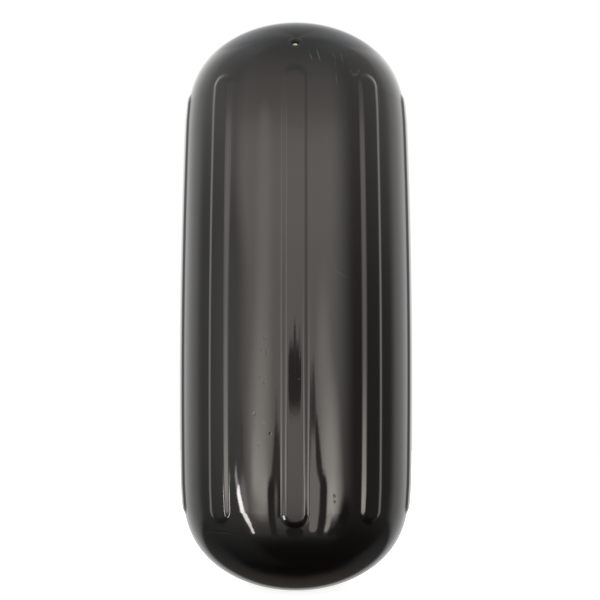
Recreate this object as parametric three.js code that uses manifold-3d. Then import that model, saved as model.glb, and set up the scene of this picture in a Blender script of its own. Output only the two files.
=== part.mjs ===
// An inflatable boat fender: one hollow moulding of glossy vinyl, with raised upright ribs
// round its barrel, domed ends, a rope hole through its middle and a needle valve in one shoulder.
// Millimetres, +Z up. It stands on its lower rim, and the origin is the middle of that rim.

import * as THREE from 'three';
import { mergeVertices } from 'three/addons/utils/BufferGeometryUtils.js';
import Module from 'manifold-3d';

const wasm = await Module();
wasm.setup();

// Barrel and ends
const fenderLength = 516;
const barrelRadius = 106.7; // at mid-height, between the ribs
const barrelTaper = 5.2; // how much the side line has drawn in by the time it reaches an end
const shoulderHeight = 112; // from an end to where its shoulder leaves the side line
const sideFullness = 3.6; // exponent of the shoulder curve where it leaves the side
const endFullness = 1.44; // exponent of the shoulder curve where it meets the rim
const rimRadius = 24; // outer edge of the flat rim round the rope hole

// Rope hole
const boreRadius = 12.5;
const boreLip = 5; // radius of the rounded edge at each mouth

// Ribs
const ribTurns = [0, 37.6, 75.2, 104.8, 142.4, 180, 217.6, 255.2, 284.8, 322.4]; // degrees
const ribHeight = 1.45;
const ribLength = 386; // from tip to tip
const ribFootWidth = 24.4; // where the flanks run out into the barrel
const ribCrownWidth = 11.4; // the flat along the top of a rib

// Needle valve, in the shoulder that faces -Y
const valveDrop = 43.4; // how far below the top end its mouth lies
const valveRadius = 3.2;
const valveLength = 14;
const valveRecess = 2.6; // from the mouth down to the plug's face
const needleRadius = 0.8;
const needleDepth = 9;
const needleLeadIn = 0.7; // width and depth of the funnel round the needle hole
const seatGap = 0.3; // clearance between the plug and its pocket

// Facets
const flankSteps = 3; // across each flank of a rib
const crownSteps = 2; // across the flat of a rib
const valleySteps = 3; // between one rib and the next
const sideSteps = 4; // up the plain side, on each side of mid-height
const ribEndSteps = 5; // round each rib tip
const domeSteps = 10; // from the rib tips over a shoulder to the rim
const lipSteps = 3;
const valveSides = 24;

const halfLength = fenderLength / 2;
const shoulderStart = halfLength - shoulderHeight;
const footHalf = ribFootWidth / 2;
const crownHalf = ribCrownWidth / 2;
const ribStraight = ribLength / 2 - footHalf; // above and below this height a rib's end is round
const fullTurn = 2 * Math.PI;
const ribAngles = ribTurns.map((turn) => THREE.MathUtils.degToRad(turn));

// The share of the full side radius that is left at height v up a shoulder, from 0 to 1
function shoulderShare(v) {
  return (1 - v ** sideFullness) ** (1 / endFullness);
}

// Radius of the plain barrel at height z above or below mid-height
function barrelAt(z) {
  const v = THREE.MathUtils.clamp((Math.abs(z) - shoulderStart) / shoulderHeight, 0, 1);
  const sideRadius = barrelRadius - barrelTaper * (z / halfLength) ** 2;
  return rimRadius + (sideRadius - rimRadius) * shoulderShare(v);
}

// How far the surface stands out of the barrel: the full rib height inside the crown, and an
// S-shaped flank down to the foot. The distance is from the rib's middle line, so its ends are round.
function ribLift(angle, z, radius) {
  const turns = ribAngles.map((middle) => (angle - middle) / fullTurn);
  const across = Math.min(...turns.map((turn) => Math.abs(turn - Math.round(turn)))) * fullTurn * radius;
  const along = Math.max(0, Math.abs(z) - ribStraight);
  const distance = Math.hypot(across, along);
  return ribHeight * (1 - THREE.MathUtils.smoothstep(distance, crownHalf, footHalf));
}

// Heights of the rings of facets over the upper half, from mid-height to the rim
function ringHeights() {
  const heights = [];
  for (let i = 0; i < sideSteps; i++) heights.push((shoulderStart * i) / sideSteps);
  heights.push(shoulderStart, (shoulderStart + ribStraight) / 2);
  for (let i = 0; i <= ribEndSteps; i++) heights.push(ribStraight + (footHalf * i) / ribEndSteps);
  const tipShare = (ribLength / 2 - shoulderStart) / shoulderHeight;
  const startAngle = Math.asin(tipShare ** (sideFullness / 2));
  for (let i = 1; i <= domeSteps; i++) {
    const t = THREE.MathUtils.lerp(startAngle, Math.PI / 2, i / domeSteps);
    heights.push(shoulderStart + shoulderHeight * Math.sin(t) ** (2 / sideFullness));
  }
  return heights;
}

// The closed section as rings of radius and height: up the outside, over the rim, down the bore
function sectionRings() {
  const outside = ringHeights().map((z) => ({ r: barrelAt(z), z }));
  const lip = [];
  for (let i = 0; i <= lipSteps; i++) {
    const t = (Math.PI / 2) * (i / lipSteps);
    lip.push({ r: boreRadius + boreLip * (1 - Math.sin(t)), z: halfLength - boreLip * (1 - Math.cos(t)) });
  }
  const upper = [...outside, ...lip];
  const lower = upper.slice(1).reverse().map(({ r, z }) => ({ r, z: -z }));
  return [...lower, ...upper];
}

// Directions round the axis: close together on the flanks of each rib, wide between the ribs
function columnAngles() {
  const foot = footHalf / barrelRadius;
  const crown = crownHalf / barrelRadius;
  const angles = [];
  for (let rib = 0; rib < ribAngles.length; rib++) {
    const middle = ribAngles[rib];
    const next = rib + 1 < ribAngles.length ? ribAngles[rib + 1] : ribAngles[0] + fullTurn;
    for (let i = 0; i <= flankSteps; i++) {
      angles.push(middle - THREE.MathUtils.lerp(foot, crown, i / flankSteps));
    }
    for (let i = 1; i < crownSteps; i++) {
      angles.push(middle + THREE.MathUtils.lerp(-crown, crown, i / crownSteps));
    }
    for (let i = 0; i <= flankSteps; i++) {
      angles.push(middle + THREE.MathUtils.lerp(crown, foot, i / flankSteps));
    }
    for (let i = 1; i < valleySteps; i++) {
      angles.push(THREE.MathUtils.lerp(middle + foot, next - foot, i / valleySteps));
    }
  }
  return angles;
}

// The moulding, turned about Z, with its first rib towards -Y and its mid-height at z = halfLength
function mouldedBody() {
  const rings = sectionRings();
  const angles = columnAngles();
  const positions = [];
  for (const { r, z } of rings) {
    const onOutside = r > rimRadius;
    for (const angle of angles) {
      const radius = onOutside ? r + ribLift(angle, z, r) : r;
      positions.push(radius * Math.sin(angle), -radius * Math.cos(angle), z + halfLength);
    }
  }
  const indices = [];
  for (let i = 0; i < rings.length; i++) {
    for (let j = 0; j < angles.length; j++) {
      const here = i * angles.length;
      const above = ((i + 1) % rings.length) * angles.length;
      const next = (j + 1) % angles.length;
      indices.push(here + j, here + next, above + next, here + j, above + next, above + j);
    }
  }
  const geometry = new THREE.BufferGeometry();
  geometry.setAttribute('position', new THREE.Float32BufferAttribute(positions, 3));
  geometry.setIndex(indices);
  return geometry;
}

function toSolid(geometry) {
  const bare = geometry.clone();
  bare.deleteAttribute('normal');
  bare.deleteAttribute('uv');
  const merged = mergeVertices(bare);
  return new wasm.Manifold(new wasm.Mesh({
    numProp: 3,
    vertProperties: new Float32Array(merged.attributes.position.array),
    triVerts: new Uint32Array(merged.index.array),
  }));
}

function toGeometry(solid) {
  const mesh = solid.getMesh();
  const geometry = new THREE.BufferGeometry();
  geometry.setAttribute('position', new THREE.Float32BufferAttribute(mesh.vertProperties, 3));
  geometry.setIndex(Array.from(mesh.triVerts));
  geometry.computeVertexNormals();
  return geometry;
}

// Where the valve's mouth lies on the shoulder, and which way it points: its own +Z is the surface normal
function valvePlace() {
  const z = halfLength - valveDrop;
  const step = 0.01;
  const rise = (barrelAt(z + step) - barrelAt(z - step)) / (2 * step);
  const outward = new THREE.Vector3(0, -1, -rise).normalize();
  const mouth = new THREE.Vector3(0, -barrelAt(z), z + halfLength);
  return { mouth, turn: new THREE.Quaternion().setFromUnitVectors(new THREE.Vector3(0, 0, 1), outward) };
}

// A round tool or pin along +Z, from depth below the mouth up to height above it
function roundBar(radius, depth, height) {
  const bar = new THREE.CylinderGeometry(radius, radius, depth + height, valveSides);
  return bar.rotateX(Math.PI / 2).translate(0, 0, (height - depth) / 2);
}

function fenderBody() {
  const { mouth, turn } = valvePlace();
  const pocket = roundBar(valveRadius, valveRecess + valveLength + seatGap, valveRadius);
  pocket.applyQuaternion(turn).translate(mouth.x, mouth.y, mouth.z);
  return toGeometry(toSolid(mouldedBody()).subtract(toSolid(pocket)));
}

// The plug, with its face at z = 0 and a funnel down to a blind needle hole
function valvePlug() {
  const radius = valveRadius - seatGap;
  const outline = [
    [0, -valveLength],
    [radius, -valveLength],
    [radius, 0],
    [needleRadius + needleLeadIn, 0],
    [needleRadius, -needleLeadIn],
    [needleRadius, -needleDepth],
    [0, -needleDepth],
  ].map(([r, z]) => new THREE.Vector2(r, z));
  return new THREE.LatheGeometry(outline, valveSides).rotateX(Math.PI / 2);
}

const glossyVinyl = new THREE.MeshStandardMaterial({ color: 0x151413, roughness: 0.18, metalness: 0 });
const paleRubber = new THREE.MeshStandardMaterial({ color: 0xcfc8bb, roughness: 0.6, metalness: 0 });

const fender = new THREE.Group();

const body = new THREE.Mesh(fenderBody(), glossyVinyl);
body.name = 'fender_body';
fender.add(body);

const valve = new THREE.Mesh(valvePlug(), paleRubber);
valve.name = 'needle_valve';
const { mouth, turn } = valvePlace();
valve.quaternion.copy(turn);
valve.position.copy(mouth).addScaledVector(new THREE.Vector3(0, 0, 1).applyQuaternion(turn), -valveRecess);
fender.add(valve);

export default fender;
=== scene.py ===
import math

import bpy
import numpy as np
from mathutils import Matrix, Vector


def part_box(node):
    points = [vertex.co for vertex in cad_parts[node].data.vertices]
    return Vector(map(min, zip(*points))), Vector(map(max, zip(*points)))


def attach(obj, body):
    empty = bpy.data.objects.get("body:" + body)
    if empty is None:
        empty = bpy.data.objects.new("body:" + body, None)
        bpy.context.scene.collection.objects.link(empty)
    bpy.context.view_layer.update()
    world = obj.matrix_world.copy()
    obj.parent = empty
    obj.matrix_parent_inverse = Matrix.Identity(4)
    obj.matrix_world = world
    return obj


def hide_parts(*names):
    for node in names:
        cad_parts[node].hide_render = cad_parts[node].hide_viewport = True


# A ribbed inflatable boat fender in black gloss vinyl, standing on its end.
# Metres, +Z up, the floor at z = 0. The valve and the camera are on the -Y side.

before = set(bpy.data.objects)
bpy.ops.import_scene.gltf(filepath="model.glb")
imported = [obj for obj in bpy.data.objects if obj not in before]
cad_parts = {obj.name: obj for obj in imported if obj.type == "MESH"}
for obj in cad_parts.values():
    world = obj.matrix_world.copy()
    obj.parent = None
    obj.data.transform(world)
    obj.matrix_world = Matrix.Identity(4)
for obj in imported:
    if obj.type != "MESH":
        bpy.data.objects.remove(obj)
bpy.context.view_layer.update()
print("frame loaded")


# Shared helpers

def addNode(tree, kind, **settings):
    node = tree.nodes.new(kind)
    for name, value in settings.items():
        setattr(node, name, value)
    return node


def feed(tree, socket, value):
    # a socket takes either another node's output or a plain number, vector or colour
    if isinstance(value, bpy.types.NodeSocket):
        tree.links.new(value, socket)
    else:
        socket.default_value = value


def calc(tree, operation, first, second=None, third=None, clamp=False):
    node = addNode(tree, "ShaderNodeMath", operation=operation, use_clamp=clamp)
    for socket, value in zip(node.inputs, (first, second, third)):
        if value is not None:
            feed(tree, socket, value)
    return node.outputs[0]


def calcVector(tree, operation, first, second=None, scale=None):
    node = addNode(tree, "ShaderNodeVectorMath", operation=operation)
    feed(tree, node.inputs[0], first)
    if second is not None:
        feed(tree, node.inputs[1], second)
    if scale is not None:
        feed(tree, node.inputs["Scale"], scale)
    return node.outputs["Value" if operation in ("DISTANCE", "DOT_PRODUCT") else "Vector"]


def ease(tree, value, start, end, low=0.0, high=1.0):
    # smooth step from low at start to high at end
    node = addNode(tree, "ShaderNodeMapRange", interpolation_type="SMOOTHSTEP")
    settings = {"Value": value, "From Min": start, "From Max": end, "To Min": low, "To Max": high}
    for name, number in settings.items():
        feed(tree, node.inputs[name], number)
    return node.outputs["Result"]


def noise(tree, position, scale, detail=2.0):
    node = addNode(tree, "ShaderNodeTexNoise")
    feed(tree, node.inputs["Vector"], position)
    node.inputs["Scale"].default_value = scale
    node.inputs["Detail"].default_value = detail
    return node.outputs["Fac"]


def newGroup(name, inputs, outputs):
    tree = bpy.data.node_groups.new(name, "ShaderNodeTree")
    for label, kind, default in inputs:
        socket = tree.interface.new_socket(name=label, in_out="INPUT", socket_type=kind)
        if default is not None:
            socket.default_value = default
    for label, kind in outputs:
        tree.interface.new_socket(name=label, in_out="OUTPUT", socket_type=kind)
    return tree, addNode(tree, "NodeGroupInput").outputs, addNode(tree, "NodeGroupOutput").inputs


def place(tree, group, **values):
    # puts a group into a tree with its inputs set, and gives its one output
    node = addNode(tree, "ShaderNodeGroup", node_tree=group)
    for name, value in values.items():
        feed(tree, node.inputs[name], value)
    return node.outputs[0]


def newMaterial(name):
    material = bpy.data.materials.new(name)
    material.use_nodes = True
    tree = material.node_tree
    return material, tree, tree.nodes["Principled BSDF"]


def meshObject(name, points, faces, smooth=True):
    mesh = bpy.data.meshes.new(name)
    mesh.from_pydata(points, [], faces)
    mesh.update()
    if smooth:
        mesh.shade_smooth()
    piece = bpy.data.objects.new(name, mesh)
    bpy.context.scene.collection.objects.link(piece)
    return piece


def gridFaces(rows, columns, closeRows):
    # quads of a grid whose columns close round, and its rows too where closeRows is set
    i, j = np.meshgrid(np.arange(rows if closeRows else rows - 1), np.arange(columns), indexing="ij")
    here, above, across = i * columns, (i + 1) % rows * columns, (j + 1) % columns
    corners = [here + j, here + across, above + across, above + j]
    return np.stack(corners, axis=-1).reshape(-1, 4)


# Fender body: one moulding, worked out as a ring-and-column surface closed through the rope hole

bodyShape = {
    "barrelRadius": 0.1067,
    "barrelTaper": 0.0052,
    "shoulderHeight": 0.112,
    "sideFullness": 3.6,
    "endFullness": 1.44,
    "rimRadius": 0.024,
    "boreRadius": 0.0125,
    "boreLip": 0.005,
    "ribTurns": (-142.4, -104.8, -75.2, -37.6, 0, 37.6, 75.2, 104.8, 142.4, 180),
    "ribHeight": 0.00145,
    "ribLength": 0.386,
    "ribFootWidth": 0.0244,
    "ribCrownWidth": 0.0114,
    "skinInset": 0.00013,
    "sharpAngle": 40,
    "sideRings": 12,
    "tipRings": 18,
    "shoulderRings": 52,
    "lipRings": 8,
    "flankColumns": 11,
    "crownColumns": 6,
    "valleyColumns": 14,
}

valveShape = {
    "drop": 0.0434,
    "pocketRadius": 0.0032,
    "pocketDepth": 0.0169,
    "mouthFlare": 0.00025,
    "collarRadius": 0.0052,
    "collarWidth": 0.0009,
    "collarHeight": 0.00028,
    "plugRadius": 0.0029,
    "plugLength": 0.014,
    "plugRecess": 0.0026,
    "plugDome": 0.0009,
    "needleRadius": 0.0005,
    "needleDepth": 0.008,
    "needleLeadIn": 0.0006,
    "leadBend": (0.3, 0.5),  # a point halfway down the needle's funnel, as shares of its width and depth
    "sharpAngle": 40,
    "denseReach": 0.0085,  # the body's rings and columns lie closer together this near to the valve
    "denseRings": 38,
    "denseColumns": 36,
    "flareSteps": 5,
    "domeSteps": 10,
    "pocketSides": 64,
    "plugSides": 48,
}

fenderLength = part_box("fender_body")[1].z
halfLength = fenderLength / 2
shoulderStart = halfLength - bodyShape["shoulderHeight"]
footHalf = bodyShape["ribFootWidth"] / 2
crownHalf = bodyShape["ribCrownWidth"] / 2
ribStraight = bodyShape["ribLength"] / 2 - footHalf
ribAngles = np.radians(bodyShape["ribTurns"])


def barrelAt(z):
    # radius of the plain barrel at height z above or below the middle: a side line that draws in
    # with the square of the height, and a superellipse from the shoulder's start to the flat rim
    v = np.clip((np.abs(z) - shoulderStart) / bodyShape["shoulderHeight"], 0, 1)
    share = (1 - v ** bodyShape["sideFullness"]) ** (1 / bodyShape["endFullness"])
    side = bodyShape["barrelRadius"] - bodyShape["barrelTaper"] * (z / halfLength) ** 2
    return bodyShape["rimRadius"] + (side - bodyShape["rimRadius"]) * share


def smoothStep(x, start, end):
    # 0 before start, 1 after end, and an S between them: three t squared less two t cubed
    t = np.clip((x - start) / (end - start), 0, 1)
    return t * t * (3 - 2 * t)


def ribLift(angle, z, radius):
    # full rib height inside the crown and an S-shaped flank to the foot, by the distance from
    # the rib's middle line, so that both ends of a rib are round
    turns = (np.asarray(angle)[..., None] - ribAngles) / (2 * math.pi)
    across = np.abs(turns - np.round(turns)).min(axis=-1) * 2 * math.pi * radius
    along = np.maximum(0, np.abs(z) - ribStraight)
    return bodyShape["ribHeight"] * (1 - smoothStep(np.hypot(across, along), crownHalf, footHalf))


def valvePlace():
    # the middle of the valve's mouth on the surface, and the surface normal there
    z = halfLength - valveShape["drop"]
    step = 1e-5
    rise = (barrelAt(z + step) - barrelAt(z - step)) / (2 * step)
    return Vector((0, -float(barrelAt(z)), z + halfLength)), Vector((0, -1, -float(rise))).normalized()


def ringHeights():
    # heights of the rings over the upper half: sparse up the plain side, close round the rib tips,
    # even over the shoulder, and closest across the valve
    side = np.linspace(0, ribStraight, bodyShape["sideRings"])
    tips = np.linspace(ribStraight, bodyShape["ribLength"] / 2, bodyShape["tipRings"])
    tipShare = (bodyShape["ribLength"] / 2 - shoulderStart) / bodyShape["shoulderHeight"]
    start = math.asin(tipShare ** (bodyShape["sideFullness"] / 2))
    t = np.linspace(start, math.pi / 2, bodyShape["shoulderRings"])
    shoulder = shoulderStart + bodyShape["shoulderHeight"] * np.sin(t) ** (2 / bodyShape["sideFullness"])
    return np.concatenate([side[:-1], tips[:-1], shoulder])


def withDense(values, middle, reach, count):
    # the values near the middle give way to a close, even row
    kept = values[np.abs(values - middle) > reach]
    return np.sort(np.concatenate([kept, np.linspace(middle - reach, middle + reach, count)]))


def lipRings():
    # quarter round from the flat rim down into the rope hole
    t = np.linspace(0, math.pi / 2, bodyShape["lipRings"])
    r = bodyShape["boreRadius"] + bodyShape["boreLip"] * (1 - np.sin(t))
    return r, halfLength - bodyShape["boreLip"] * (1 - np.cos(t))


def columnAngles():
    # directions round the axis: close together over each rib, wider in the valleys between them
    foot, crown = footHalf / bodyShape["barrelRadius"], crownHalf / bodyShape["barrelRadius"]
    flank = np.linspace(-foot, -crown, bodyShape["flankColumns"])
    top = np.linspace(-crown, crown, bodyShape["crownColumns"])[1:-1]
    rib = np.concatenate([flank, top, -flank[::-1]])
    following = np.append(ribAngles[1:], ribAngles[0] + 2 * math.pi)
    valleys = np.linspace(ribAngles + foot, following - foot, bodyShape["valleyColumns"])[1:-1]
    angles = np.concatenate([(ribAngles[:, None] + rib).ravel(), valleys.ravel()])
    angles = np.sort((angles + math.pi) % (2 * math.pi) - math.pi)
    reach = valveShape["denseReach"] / bodyShape["barrelRadius"]
    return withDense(angles, 0.0, reach, valveShape["denseColumns"])


def bodySurface():
    # each ring is the barrel's radius at its height, lifted over the ribs, and the last rings at
    # either end run over the rim and down the rope hole, where they meet
    upper = ringHeights()
    valveHeight = halfLength - valveShape["drop"]
    dense = withDense(upper, valveHeight, valveShape["denseReach"], valveShape["denseRings"])
    lipRadius, lipHeight = lipRings()
    topZ = np.concatenate([dense, lipHeight])
    topR = np.concatenate([barrelAt(topZ[:-len(lipHeight)]), lipRadius])
    lowZ = -np.concatenate([upper, lipHeight])[1:][::-1]
    lowR = np.concatenate([barrelAt(upper), lipRadius])[1:][::-1]
    z, r = np.concatenate([lowZ, topZ]), np.concatenate([lowR, topR])
    angles = columnAngles()
    angle, radius = np.meshgrid(angles, r)
    height = np.meshgrid(angles, z)[1]
    outside = radius > bodyShape["rimRadius"]
    swept = radius + np.where(outside, ribLift(angle, height, radius), 0)
    points = np.stack([swept * np.sin(angle), -swept * np.cos(angle), height + halfLength], axis=-1)
    # the raised collar round the valve is a low round ridge at one distance from its mouth
    mouth, outward = valvePlace()
    reach = np.linalg.norm(points - np.array(mouth), axis=-1)
    ridge = np.exp(-((reach - valveShape["collarRadius"]) / valveShape["collarWidth"]) ** 2)
    points += (valveShape["collarHeight"] * ridge)[..., None] * np.array(outward)
    inward = np.where(outside, bodyShape["skinInset"], 0)
    points[..., 0] -= inward * np.sin(angle)
    points[..., 1] += inward * np.cos(angle)
    return points.reshape(-1, 3), gridFaces(len(z), len(angles), True)


def turnedProfile(name, outline, mouth, outward, sides):
    # a profile of (radius, height) turned about the line through mouth along outward; its first
    # and last points lie on that line and close it
    r, h = np.array(outline[1:-1]).T
    side = Vector((1, 0, 0))
    up = outward.cross(side)
    angle = np.linspace(0, 2 * math.pi, sides, endpoint=False)
    across = np.cos(angle)[:, None] * np.array(side) + np.sin(angle)[:, None] * np.array(up)
    rings = np.array(mouth) + r[:, None, None] * across + h[:, None, None] * np.array(outward)
    ends = [np.array(mouth) + outline[i][1] * np.array(outward) for i in (0, -1)]
    points = np.concatenate([rings.reshape(-1, 3), ends])
    faces = gridFaces(len(r), sides, False).tolist()
    first, last = len(points) - 2, len(points) - 1
    start = (len(r) - 1) * sides
    faces += [[first, (j + 1) % sides, j] for j in range(sides)]
    faces += [[last, start + j, start + (j + 1) % sides] for j in range(sides)]
    return meshObject(name, points.tolist(), faces)


def cutPocket(piece):
    # the valve's pocket, with a small flare at its mouth, cut out of the finished surface
    mouth, outward = valvePlace()
    radius, flare = valveShape["pocketRadius"], valveShape["mouthFlare"]
    drop = 2 * flare
    outline = [(0, -valveShape["pocketDepth"]), (radius, -valveShape["pocketDepth"]), (radius, -drop)]
    for t in np.linspace(1 / valveShape["flareSteps"], 1.0, valveShape["flareSteps"]) * math.pi / 2:
        outline.append((radius + flare * (1 - math.cos(t)), -drop * (1 - math.sin(t))))
    outline += [(radius + flare, 2 * drop), (0, 2 * drop)]
    cutter = turnedProfile("pocket_cutter", outline, mouth, outward, valveShape["pocketSides"])
    cut = piece.modifiers.new("valve_pocket", "BOOLEAN")
    cut.operation, cut.object, cut.solver = "DIFFERENCE", cutter, "EXACT"
    bpy.context.view_layer.update()
    finished = bpy.data.meshes.new_from_object(piece.evaluated_get(bpy.context.evaluated_depsgraph_get()))
    piece.modifiers.clear()
    piece.data = finished
    bpy.data.objects.remove(cutter)
    piece.data.set_sharp_from_angle(angle=math.radians(bodyShape["sharpAngle"]))


points, faces = bodySurface()
fenderBody = meshObject("fender_moulding", points.tolist(), faces.tolist())
cutPocket(fenderBody)
print("body surface:", len(fenderBody.data.vertices), "points")


# Needle valve: a pale rubber plug with a domed face and a needle hole

def plugOutline():
    # the plug's half section from its foot up: the side, the domed face, and down the needle hole
    radius, dome = valveShape["plugRadius"], valveShape["plugDome"]
    lead, needle = valveShape["needleLeadIn"], valveShape["needleRadius"]
    outline = [(0, -valveShape["plugLength"]), (radius, -valveShape["plugLength"]), (radius, -dome)]
    for t in np.linspace(1 / valveShape["domeSteps"], 1.0, valveShape["domeSteps"]) * math.pi / 2:
        # quarter ellipse from the side up to the edge of the needle's funnel
        r = needle + lead + (radius - needle - lead) * math.cos(t)
        outline.append((r, -dome * (1 - math.sin(t))))
    across, down = valveShape["leadBend"]
    outline += [(needle + lead * across, -lead * down), (needle, -lead), (needle, -valveShape["needleDepth"])]
    return outline + [(0, -valveShape["needleDepth"])]


valveMouth, valveOutward = valvePlace()
plugFace = valveMouth - valveOutward * valveShape["plugRecess"]
needleValve = turnedProfile("valve_plug", plugOutline(), plugFace, valveOutward, valveShape["plugSides"])
needleValve.data.set_sharp_from_angle(angle=math.radians(valveShape["sharpAngle"]))
print("needle valve made")


# Finishes shared by the materials

skinPattern = {"swellScale": 14.0, "swellStretch": (1.0, 1.0, 0.45), "peelScale": 260.0}
speckPattern = {"core": 0.5, "leftOut": 0.6, "patchScale": 22.0, "patchEdge": 0.1}


def skinGroup():
    # the slow waves and fine orange peel of moulded vinyl, as a height
    tree, given, result = newGroup(
        "mouldedSkin",
        [("Position", "NodeSocketVector", None), ("Swell", "NodeSocketFloat", 1.0),
         ("Peel", "NodeSocketFloat", 1.0)],
        [("Height", "NodeSocketFloat")],
    )
    stretched = calcVector(tree, "MULTIPLY", given["Position"], skinPattern["swellStretch"])
    slow = noise(tree, stretched, skinPattern["swellScale"], detail=1.0)
    fine = noise(tree, given["Position"], skinPattern["peelScale"])
    feed(tree, result["Height"], calc(tree, "ADD", calc(tree, "MULTIPLY", slow, given["Swell"]),
                                      calc(tree, "MULTIPLY", fine, given["Peel"])))
    return tree


def strokeGroup():
    # 1 near the straight line from Start to End, and 0 beyond Width, with a fade of Edge before it:
    # the nearest point on the line is Start plus the share of the way that a point lies along it,
    # held between 0 and 1; lengths are metres over the skin and degrees over the surroundings
    tree, given, result = newGroup(
        "scratchStroke",
        [("Position", "NodeSocketVector", None), ("Start", "NodeSocketVector", None),
         ("End", "NodeSocketVector", None), ("Width", "NodeSocketFloat", 0.0005),
         ("Edge", "NodeSocketFloat", 0.0005)],
        [("Mask", "NodeSocketFloat")],
    )
    way = calcVector(tree, "SUBTRACT", given["End"], given["Start"])
    gone = calcVector(tree, "SUBTRACT", given["Position"], given["Start"])
    share = calc(tree, "DIVIDE", calcVector(tree, "DOT_PRODUCT", gone, way),
                 calcVector(tree, "DOT_PRODUCT", way, way), clamp=True)
    nearest = calcVector(tree, "ADD", given["Start"], calcVector(tree, "SCALE", way, scale=share))
    distance = calcVector(tree, "DISTANCE", given["Position"], nearest)
    full = calc(tree, "SUBTRACT", given["Width"], given["Edge"])
    feed(tree, result["Mask"], ease(tree, distance, given["Width"], full))
    return tree


def speckGroup():
    # small round specks in patches: round the middles of some voronoi cells, where a slow noise is high
    tree, given, result = newGroup(
        "dustSpecks",
        [("Position", "NodeSocketVector", None), ("Scale", "NodeSocketFloat", 200.0),
         ("Size", "NodeSocketFloat", 0.12), ("Patches", "NodeSocketFloat", 0.55)],
        [("Mask", "NodeSocketFloat")],
    )
    cells = addNode(tree, "ShaderNodeTexVoronoi")
    feed(tree, cells.inputs["Vector"], given["Position"])
    feed(tree, cells.inputs["Scale"], given["Scale"])
    core = calc(tree, "MULTIPLY", given["Size"], speckPattern["core"])
    dot = ease(tree, cells.outputs["Distance"], given["Size"], core)
    chosen = addNode(tree, "ShaderNodeSeparateColor")
    feed(tree, chosen.inputs[0], cells.outputs["Color"])
    few = calc(tree, "GREATER_THAN", chosen.outputs[0], speckPattern["leftOut"])
    patch = ease(tree, noise(tree, given["Position"], speckPattern["patchScale"]), given["Patches"],
                 calc(tree, "ADD", given["Patches"], speckPattern["patchEdge"]))
    feed(tree, result["Mask"], calc(tree, "MULTIPLY", calc(tree, "MULTIPLY", dot, few), patch))
    return tree


mouldedSkin, scratchStroke, dustSpecks = skinGroup(), strokeGroup(), speckGroup()
print("finish groups made")


# Black gloss vinyl, with the scratches, pits and specks that moulding and handling have left

vinylLook = {
    "color": (0.0042, 0.0039, 0.0036),
    "scuffColor": (0.075, 0.08, 0.086),
    "roughness": 0.05,
    "scuffRoughness": 0.42,
    "ior": 1.54,
    "swell": 0.00045,
    "peel": 0.000006,
    "dentDepth": 0.00018,
    "breakScale": 900.0,  # the noise that breaks up the scratches
    "breakRange": (0.3, 0.5),
    "speckScale": 230.0,
    "speckSize": 0.14,
    "speckPatches": 0.57,
    "speckDepth": 0.00006,
    "speckDulling": 0.35,
}

# scratches by the angle round from -Y and the height, at both ends, with their width and strength
scratches = [
    {"from": (6.8, 0.4653), "to": (7.4, 0.4609), "width": 0.0005, "strength": 0.4},
    {"from": (7.3, 0.4610), "to": (8.2, 0.4561), "width": 0.0006, "strength": 0.9},
    {"from": (11.0, 0.4658), "to": (12.0, 0.4568), "width": 0.0006, "strength": 0.95},
    {"from": (12.0, 0.4568), "to": (12.2, 0.4541), "width": 0.0005, "strength": 0.5},
    {"from": (19.1, 0.4638), "to": (20.4, 0.4584), "width": 0.0005, "strength": 0.75},
    {"from": (20.4, 0.4584), "to": (19.7, 0.4495), "width": 0.0004, "strength": 0.3},
    {"from": (19.7, 0.4443), "to": (19.9, 0.4342), "width": 0.0005, "strength": 0.6},
    {"from": (19.9, 0.4342), "to": (20.1, 0.4291), "width": 0.0004, "strength": 0.35},
    {"from": (23.7, 0.4650), "to": (24.2, 0.4581), "width": 0.0005, "strength": 0.85},
    {"from": (24.2, 0.4581), "to": (24.2, 0.4519), "width": 0.0004, "strength": 0.4},
    {"from": (28.0, 0.4572), "to": (28.2, 0.4553), "width": 0.0005, "strength": 0.6},
    {"from": (28.0, 0.4491), "to": (29.1, 0.4456), "width": 0.0021, "strength": 0.27},
    {"from": (29.1, 0.4456), "to": (31.2, 0.4469), "width": 0.0023, "strength": 0.34},
    {"from": (31.2, 0.4469), "to": (33.1, 0.4516), "width": 0.002, "strength": 0.3},
    {"from": (2.3, 0.4246), "to": (2.4, 0.4242), "width": 0.0005, "strength": 0.5},
    {"from": (18.1, 0.2750), "to": (24.1, 0.2696), "width": 0.0006, "strength": 0.3},
    {"from": (-3.2, 0.3581), "to": (-3.1, 0.3585), "width": 0.0006, "strength": 0.5},
    {"from": (12.1, 0.3860), "to": (12.3, 0.3865), "width": 0.0005, "strength": 0.4},
]

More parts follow.
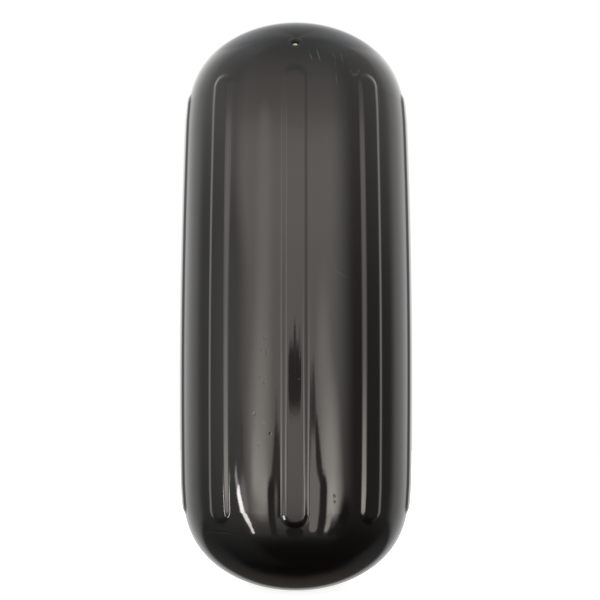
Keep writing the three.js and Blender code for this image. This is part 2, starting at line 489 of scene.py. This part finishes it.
# dents in the same way: small pits, and the faint line where the mould parted
dents = [
    {"from": (-13.5, 0.219), "to": (-13.4, 0.2196), "width": 0.0016, "strength": 0.45},
    {"from": (-15.2, 0.2095), "to": (-15.1, 0.21), "width": 0.0012, "strength": 0.3},
    {"from": (-12.4, 0.2065), "to": (-12.3, 0.2078), "width": 0.0014, "strength": 0.4},
    {"from": (-16, 0.188), "to": (-15.8, 0.1885), "width": 0.0013, "strength": 0.3},
    {"from": (-13.5, 0.182), "to": (-13.4, 0.1826), "width": 0.0015, "strength": 0.4},
    {"from": (-18.5, 0.157), "to": (-18.2, 0.1576), "width": 0.0018, "strength": 0.3},
    {"from": (-14.5, 0.149), "to": (-14.0, 0.1496), "width": 0.002, "strength": 0.3},
    {"from": (-11, 0.141), "to": (-10.8, 0.1418), "width": 0.0016, "strength": 0.35},
    {"from": (-16.5, 0.133), "to": (-16.2, 0.1333), "width": 0.0018, "strength": 0.25},
    {"from": (17.8, 0.092), "to": (18, 0.0906), "width": 0.0014, "strength": 0.5},
    {"from": (18.1, 0.087), "to": (18.2, 0.086), "width": 0.0013, "strength": 0.5},
    {"from": (-50, 0.0565), "to": (-42, 0.059), "width": 0.0012, "strength": 0.7},
    {"from": (-42, 0.059), "to": (-34.5, 0.0595), "width": 0.0012, "strength": 0.8},
    {"from": (-34.5, 0.0595), "to": (-27, 0.058), "width": 0.0012, "strength": 0.5},
]


def onSkin(angleDegrees, height):
    # the point of the body's surface at an angle round from -Y and a height above the floor
    angle, z = math.radians(angleDegrees), height - halfLength
    radius = float(barrelAt(z))
    radius += float(ribLift(angle, z, radius))
    return (radius * math.sin(angle), -radius * math.cos(angle), height)


def drawnMarks(tree, position, marks):
    # the strongest of several strokes over the skin
    total = 0.0
    for mark in marks:
        stroke = place(tree, scratchStroke, Position=position, Start=onSkin(*mark["from"]),
                       End=onSkin(*mark["to"]), Width=mark["width"], Edge=mark["width"])
        total = calc(tree, "MAXIMUM", total, calc(tree, "MULTIPLY", stroke, mark["strength"]))
    return total


def glossVinyl():
    material, tree, shader = newMaterial("glossVinyl")
    position = addNode(tree, "ShaderNodeTexCoord").outputs["Object"]
    broken = ease(tree, noise(tree, position, vinylLook["breakScale"], detail=1.0), *vinylLook["breakRange"])
    marks = calc(tree, "MULTIPLY", drawnMarks(tree, position, scratches), broken)
    dented = drawnMarks(tree, position, dents)
    specks = place(tree, dustSpecks, Position=position, Scale=vinylLook["speckScale"],
                   Size=vinylLook["speckSize"], Patches=vinylLook["speckPatches"])
    color = addNode(tree, "ShaderNodeMix", data_type="RGBA")
    feed(tree, color.inputs["Factor"], marks)
    color.inputs["A"].default_value = (*vinylLook["color"], 1)
    color.inputs["B"].default_value = (*vinylLook["scuffColor"], 1)
    feed(tree, shader.inputs["Base Color"], color.outputs["Result"])
    dulled = calc(tree, "MAXIMUM", marks, calc(tree, "MULTIPLY", specks, vinylLook["speckDulling"]))
    feed(tree, shader.inputs["Roughness"],
         ease(tree, dulled, 0.0, 1.0, vinylLook["roughness"], vinylLook["scuffRoughness"]))
    shader.inputs["IOR"].default_value = vinylLook["ior"]
    height = place(tree, mouldedSkin, Position=position, Swell=vinylLook["swell"], Peel=vinylLook["peel"])
    height = calc(tree, "ADD", height, calc(tree, "MULTIPLY", specks, -vinylLook["speckDepth"]))
    height = calc(tree, "ADD", height, calc(tree, "MULTIPLY", dented, -vinylLook["dentDepth"]))
    bump = addNode(tree, "ShaderNodeBump")
    bump.inputs["Distance"].default_value = 1.0
    feed(tree, bump.inputs["Height"], height)
    feed(tree, shader.inputs["Normal"], bump.outputs["Normal"])
    return material


# Pale valve rubber, with a little grime

valveLook = {
    "color": (0.62, 0.58, 0.51),
    "grimeColor": (0.16, 0.14, 0.12),
    "grimeScale": 700.0,
    "grimeRange": (0.48, 0.72),
    "grimeStrength": 0.5,
    "roughness": 0.55,
    "peel": 0.00001,
}


def paleRubber():
    material, tree, shader = newMaterial("paleRubber")
    position = addNode(tree, "ShaderNodeTexCoord").outputs["Object"]
    grime = ease(tree, noise(tree, position, valveLook["grimeScale"], detail=3.0), *valveLook["grimeRange"])
    color = addNode(tree, "ShaderNodeMix", data_type="RGBA")
    feed(tree, color.inputs["Factor"], calc(tree, "MULTIPLY", grime, valveLook["grimeStrength"]))
    color.inputs["A"].default_value = (*valveLook["color"], 1)
    color.inputs["B"].default_value = (*valveLook["grimeColor"], 1)
    feed(tree, shader.inputs["Base Color"], color.outputs["Result"])
    shader.inputs["Roughness"].default_value = valveLook["roughness"]
    bump = addNode(tree, "ShaderNodeBump")
    bump.inputs["Distance"].default_value = 1.0
    height = place(tree, mouldedSkin, Position=position, Swell=0.0, Peel=valveLook["peel"])
    feed(tree, bump.inputs["Height"], height)
    feed(tree, shader.inputs["Normal"], bump.outputs["Normal"])
    return material


fenderBody.data.materials.clear()
fenderBody.data.materials.append(glossVinyl())
needleValve.data.materials.append(paleRubber())
dressed = ((fenderBody, "fender_body", "gloss_vinyl"), (needleValve, "needle_valve", "valve_rubber"))
for piece, node, slot in dressed:
    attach(piece, "root")
    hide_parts(node)
print("materials made")


# Stage: a pale floor and the studio's soft surroundings

floorLook = {
    "radius": 1.6,
    "sides": 96,
    "color": (0.8, 0.8, 0.8),
    "roughness": 0.9,
    "lift": 0.85,  # how much the camera sees the floor glow towards white
}


def paleFloor():
    angle = np.linspace(0, 2 * math.pi, floorLook["sides"], endpoint=False)
    rim = np.stack([np.cos(angle), np.sin(angle), 0 * angle], axis=-1) * floorLook["radius"]
    floor = meshObject("floor", rim.tolist(), [list(range(len(angle)))], smooth=False)
    material, tree, shader = newMaterial("paleFloor")
    shader.inputs["Base Color"].default_value = (*floorLook["color"], 1)
    shader.inputs["Roughness"].default_value = floorLook["roughness"]
    seen = addNode(tree, "ShaderNodeLightPath").outputs["Is Camera Ray"]
    shader.inputs["Emission Color"].default_value = (1, 1, 1, 1)
    feed(tree, shader.inputs["Emission Strength"], calc(tree, "MULTIPLY", seen, floorLook["lift"]))
    floor.data.materials.append(material)
    floor.visible_glossy = False  # the vinyl mirrors the surroundings painted below it instead


# brightness of the surroundings by elevation in degrees, in four directions from the fender
surroundings = {
    "front": [(-90, 0.0), (-60, 0.01), (-50, 0.06), (-43, 0.2), (-38, 0.48), (-30, 0.8), (-20, 1.35),
              (-8, 1.82), (8, 2.0), (15, 2.2), (20, 1.62), (28, 1.22), (45, 0.93), (60, 0.7), (75, 0.61),
              (90, 0.5)],
    "left": [(-90, 0.0), (-63, 0.05), (-45, 0.12), (-30, 0.23), (-12, 0.41), (3, 0.6), (10, 0.6),
             (16, 0.75), (22, 0.9), (40, 0.83), (58, 0.9), (70, 0.73), (90, 0.5)],
    "right": [(-90, 0.0), (-50, 0.02), (-35, 0.05), (-20, 0.15), (3, 0.24), (12, 0.42), (22, 0.65),
              (45, 0.7), (60, 0.75), (75, 0.6), (90, 0.5)],
    "back": [(-90, 0.0), (-72, 0.03), (-64, 0.1), (-58, 0.14), (-45, 0.13), (-38, 0.12), (-35, 0.31),
             (-31, 0.58), (-25, 0.72), (-10, 0.92), (8, 1.05), (20, 1.12), (29, 1.15), (38, 0.84),
             (46, 0.74), (60, 0.58), (90, 0.5)],
}
brightest = 2.5  # top of the four curves

# where one direction gives way to the next, from none of it to all of it, in degrees of azimuth
meetings = {"right": (-5.0, 5.0), "back": (102.5, 117.5), "frontLeft": (-60.0, -42.0),
            "frontRight": (60.5, 32.0)}
frontSpread = {"heights": (6.0, 17.0), "turn": 9.0}  # the front reaches further left higher up
# the curve behind moves up towards the sides, more so higher up, and it is brightest in a band
behind = {
    "level": 158.0,  # azimuth up to which it moves
    "riseHeights": (-30.0, 40.0),
    "rise": (0.3, 0.58),  # degrees up for each degree of azimuth, low down and high up
    "bandFrom": (115.0, 140.0),
    "bandTo": (172.0, 152.0),
    "bandHeights": (-34.0, -20.0),
    "bandGain": 0.3,
}
# low down, the left side is darker towards the back and brighter towards the front
leftSide = {"heights": (35.0, 0.0), "turns": (-108.0, -62.0), "gains": (-0.28, 0.5)}

# soft strokes over the four curves, from and to (azimuth, elevation) in degrees: bright lamps, a
# bright strip to the left and dark uprights in front
surroundStrokes = [
    {"from": (-31, 13), "to": (-31, 2), "width": 12, "edge": 11, "level": 2.7},
    {"from": (-34, -7), "to": (-33, -14.5), "width": 15, "edge": 14.6, "level": 3.8},
    {"from": (-38, -9.5), "to": (-30, -12), "width": 7, "edge": 6.6, "level": 4.8},
    {"from": (27, -1), "to": (29, -9), "width": 11, "edge": 10, "level": 2.9},
    {"from": (34, -12), "to": (35.5, -14), "width": 14.2, "edge": 11, "level": 4.7},
    {"from": (35.5, -13.5), "to": (35, -19), "width": 6, "edge": 5.5, "level": 5.8},
    {"from": (34.5, -20.5), "to": (33.5, -33.5), "width": 4.1, "edge": 3.3, "level": 4.4},
    {"from": (18.5, -10), "to": (18.5, -32.5), "width": 5, "edge": 1.8, "level": 2.6},
    {"from": (50.5, -20), "to": (49.5, -33), "width": 9.5, "edge": 6.5, "level": 0.08},
    {"from": (46, -30), "to": (40, -37), "width": 6, "edge": 5, "level": 0.15},
    {"from": (-54, -6), "to": (-53, -9), "width": 5, "edge": 5, "level": 0.8},
    {"from": (-52, -12), "to": (-50, -16), "width": 5, "edge": 5, "level": 2.6},
    {"from": (-59.5, -9), "to": (-57, -12.5), "width": 1.8, "edge": 1.4, "level": 5},
    {"from": (-57, -12.5), "to": (-53, -19), "width": 2.3, "edge": 1.3, "level": 20},
    {"from": (-53, -19), "to": (-49, -27.5), "width": 2.7, "edge": 1.4, "level": 16},
    {"from": (-49, -27.5), "to": (-48, -35.5), "width": 2.1, "edge": 1.2, "level": 13},
    {"from": (-17, -3.5), "to": (-18, -6.5), "width": 3.0, "edge": 2.3, "level": 0.72},
    {"from": (-18.5, -7), "to": (-22.5, -12), "width": 3.3, "edge": 2.0, "level": 0.5},
    {"from": (-23.5, -13), "to": (-24, -40), "width": 4.7, "edge": 2.5, "level": 0.26},
    {"from": (15.5, -0.5), "to": (17, -3.5), "width": 2.5, "edge": 1.6, "level": 0.62},
    {"from": (19.5, -5), "to": (20.5, -6.5), "width": 1.8, "edge": 1.2, "level": 0.4},
    {"from": (20.5, -6.5), "to": (26.5, -11), "width": 2.5, "edge": 1.5, "level": 0.35},
    {"from": (27, -12.5), "to": (27.5, -39), "width": 4.8, "edge": 2.0, "level": 0.26},
    {"from": (-5, -1), "to": (3, -1), "width": 3.5, "edge": 1.8, "level": 0.32},
    {"from": (-1, 2.5), "to": (-1, 1), "width": 1.4, "edge": 0.9, "level": 0.5},
    {"from": (3.5, 2.5), "to": (3.5, 1), "width": 1.0, "edge": 0.6, "level": 1.2},
    {"from": (-6, -37), "to": (3, -38), "width": 6, "edge": 2.1, "level": 0.16},
]

# tints of the four directions, and of what lies above and below them, which come in between two
# elevations and, for the floor, between two azimuths
surroundTints = {"front": (1.0, 0.94, 0.875), "left": (1.0, 0.98, 0.97), "right": (1.0, 0.955, 0.89),
                 "back": (1.0, 0.99, 0.985), "above": (0.96, 0.975, 1.0), "nearFloor": (0.93, 0.97, 1.0),
                 "farFloor": (1.0, 0.87, 0.75)}
tintHeights = {"above": (38.0, 58.0), "nearFloor": (-38.0, -46.0), "farFloor": (-34.0, -39.0)}
tintTurns = {"nearFloor": (152.0, 130.0), "farFloor": (132.0, 150.0)}


def studioWorld():
    world = bpy.data.worlds.new("studio")
    bpy.context.scene.world = world
    world.use_nodes = True
    tree = world.node_tree
    tree.nodes.clear()
    direction = addNode(tree, "ShaderNodeTexCoord").outputs["Generated"]
    axes = addNode(tree, "ShaderNodeSeparateXYZ")
    feed(tree, axes.inputs[0], direction)
    degrees = 180 / math.pi
    x, y, z = axes.outputs
    azimuth = calc(tree, "MULTIPLY", calc(tree, "ARCTAN2", x, calc(tree, "MULTIPLY", y, -1.0)), degrees)
    elevation = calc(tree, "MULTIPLY", calc(tree, "ARCSINE", z), degrees)

    def byElevation(points, height):
        # the curve maps elevation from -90 to 90 degrees, and brightness, on to 0 to 1
        share = calc(tree, "MULTIPLY_ADD", height, 1 / 180, 0.5)
        node = addNode(tree, "ShaderNodeFloatCurve")
        feed(tree, node.inputs["Value"], share)
        curve = node.mapping.curves[0]
        for _ in points[2:]:
            curve.points.new(0.5, 0.5)
        for point, (angle, level) in zip(curve.points, points):
            point.location = ((angle + 90) / 180, level / brightest)
            point.handle_type = "AUTO_CLAMPED"
        node.mapping.update()
        return calc(tree, "MULTIPLY", node.outputs[0], brightest)

    def blend(weight, first, second, kind="FLOAT"):
        mix = addNode(tree, "ShaderNodeMix", data_type=kind)
        pins = [pin for pin in mix.inputs if pin.type == ("VALUE" if kind == "FLOAT" else "RGBA")][-2:]
        feed(tree, mix.inputs["Factor"], weight)
        for pin, value in zip(pins, (first, second)):
            feed(tree, pin, value)
        return [pin for pin in mix.outputs if pin.type == pins[0].type][0]

    turned = calc(tree, "ABSOLUTE", azimuth)
    spread = ease(tree, elevation, *frontSpread["heights"], 0.0, frontSpread["turn"])
    leftward = calc(tree, "ADD", azimuth, spread)
    weights = {
        "right": ease(tree, azimuth, *meetings["right"]),
        "back": ease(tree, turned, *meetings["back"]),
        "front": calc(tree, "MULTIPLY", ease(tree, leftward, *meetings["frontLeft"]),
                      ease(tree, azimuth, *meetings["frontRight"])),
    }
    aside = calc(tree, "MAXIMUM", calc(tree, "SUBTRACT", behind["level"], turned), 0.0)
    rise = calc(tree, "MULTIPLY", aside, ease(tree, elevation, *behind["riseHeights"], *behind["rise"]))
    heights = {"back": calc(tree, "SUBTRACT", elevation, rise)}
    band = calc(tree, "MULTIPLY", ease(tree, turned, *behind["bandFrom"]),
                ease(tree, turned, *behind["bandTo"], 0.0, behind["bandGain"]))
    gains = {"back": calc(tree, "MULTIPLY_ADD", band, ease(tree, elevation, *behind["bandHeights"]), 1.0)}
    level = byElevation(surroundings["left"], elevation)
    change = calc(tree, "MULTIPLY", ease(tree, elevation, *leftSide["heights"]),
                  ease(tree, azimuth, *leftSide["turns"], *leftSide["gains"]))
    level = calc(tree, "MULTIPLY_ADD", level, change, level)
    tint = (*surroundTints["left"], 1)
    for name, weight in weights.items():
        there = byElevation(surroundings[name], heights.get(name, elevation))
        level = blend(weight, level, calc(tree, "MULTIPLY", there, gains.get(name, 1.0)))
        tint = blend(weight, tint, (*surroundTints[name], 1), "RGBA")
    for name, span in tintHeights.items():
        weight = ease(tree, elevation, *span)
        if name in tintTurns:
            weight = calc(tree, "MULTIPLY", weight, ease(tree, turned, *tintTurns[name]))
        tint = blend(weight, tint, (*surroundTints[name], 1), "RGBA")
    flat = addNode(tree, "ShaderNodeCombineXYZ")
    feed(tree, flat.inputs[0], azimuth)
    feed(tree, flat.inputs[1], elevation)
    for stroke in surroundStrokes:
        mask = place(tree, scratchStroke, Position=flat.outputs[0], Start=(*stroke["from"], 0),
                     End=(*stroke["to"], 0), Width=stroke["width"], Edge=stroke["edge"])
        level = blend(mask, level, stroke["level"])

    seen = addNode(tree, "ShaderNodeLightPath").outputs["Is Camera Ray"]
    background = addNode(tree, "ShaderNodeBackground")
    feed(tree, background.inputs["Strength"], blend(seen, level, 1.0))
    feed(tree, background.inputs["Color"], blend(seen, tint, (1, 1, 1, 1), "RGBA"))
    feed(tree, addNode(tree, "ShaderNodeOutputWorld").inputs["Surface"], background.outputs[0])


paleFloor()
studioWorld()
print("stage and surroundings made")


# Camera at the photograph's place: a little below the middle of the fender, looking slightly up

view = {"x": 0.00359, "y": -0.826, "z": 0.183, "pitch": 0.0929, "turn": 0.0052, "lens": 52.99, "sensor": 36}

cameraData = bpy.data.cameras.new("camera")
cameraData.lens = view["lens"]
cameraData.sensor_width = view["sensor"]
camera = bpy.data.objects.new("camera", cameraData)
camera.location = Matrix.Rotation(view["turn"], 3, "Z") @ Vector((view["x"], view["y"], view["z"]))
camera.rotation_euler = (math.pi / 2 + view["pitch"], 0, view["turn"])
bpy.context.scene.collection.objects.link(camera)
bpy.context.scene.camera = camera
bpy.context.scene.view_settings.view_transform = "Standard"
print("camera placed")

bpy.context.view_layer.update()
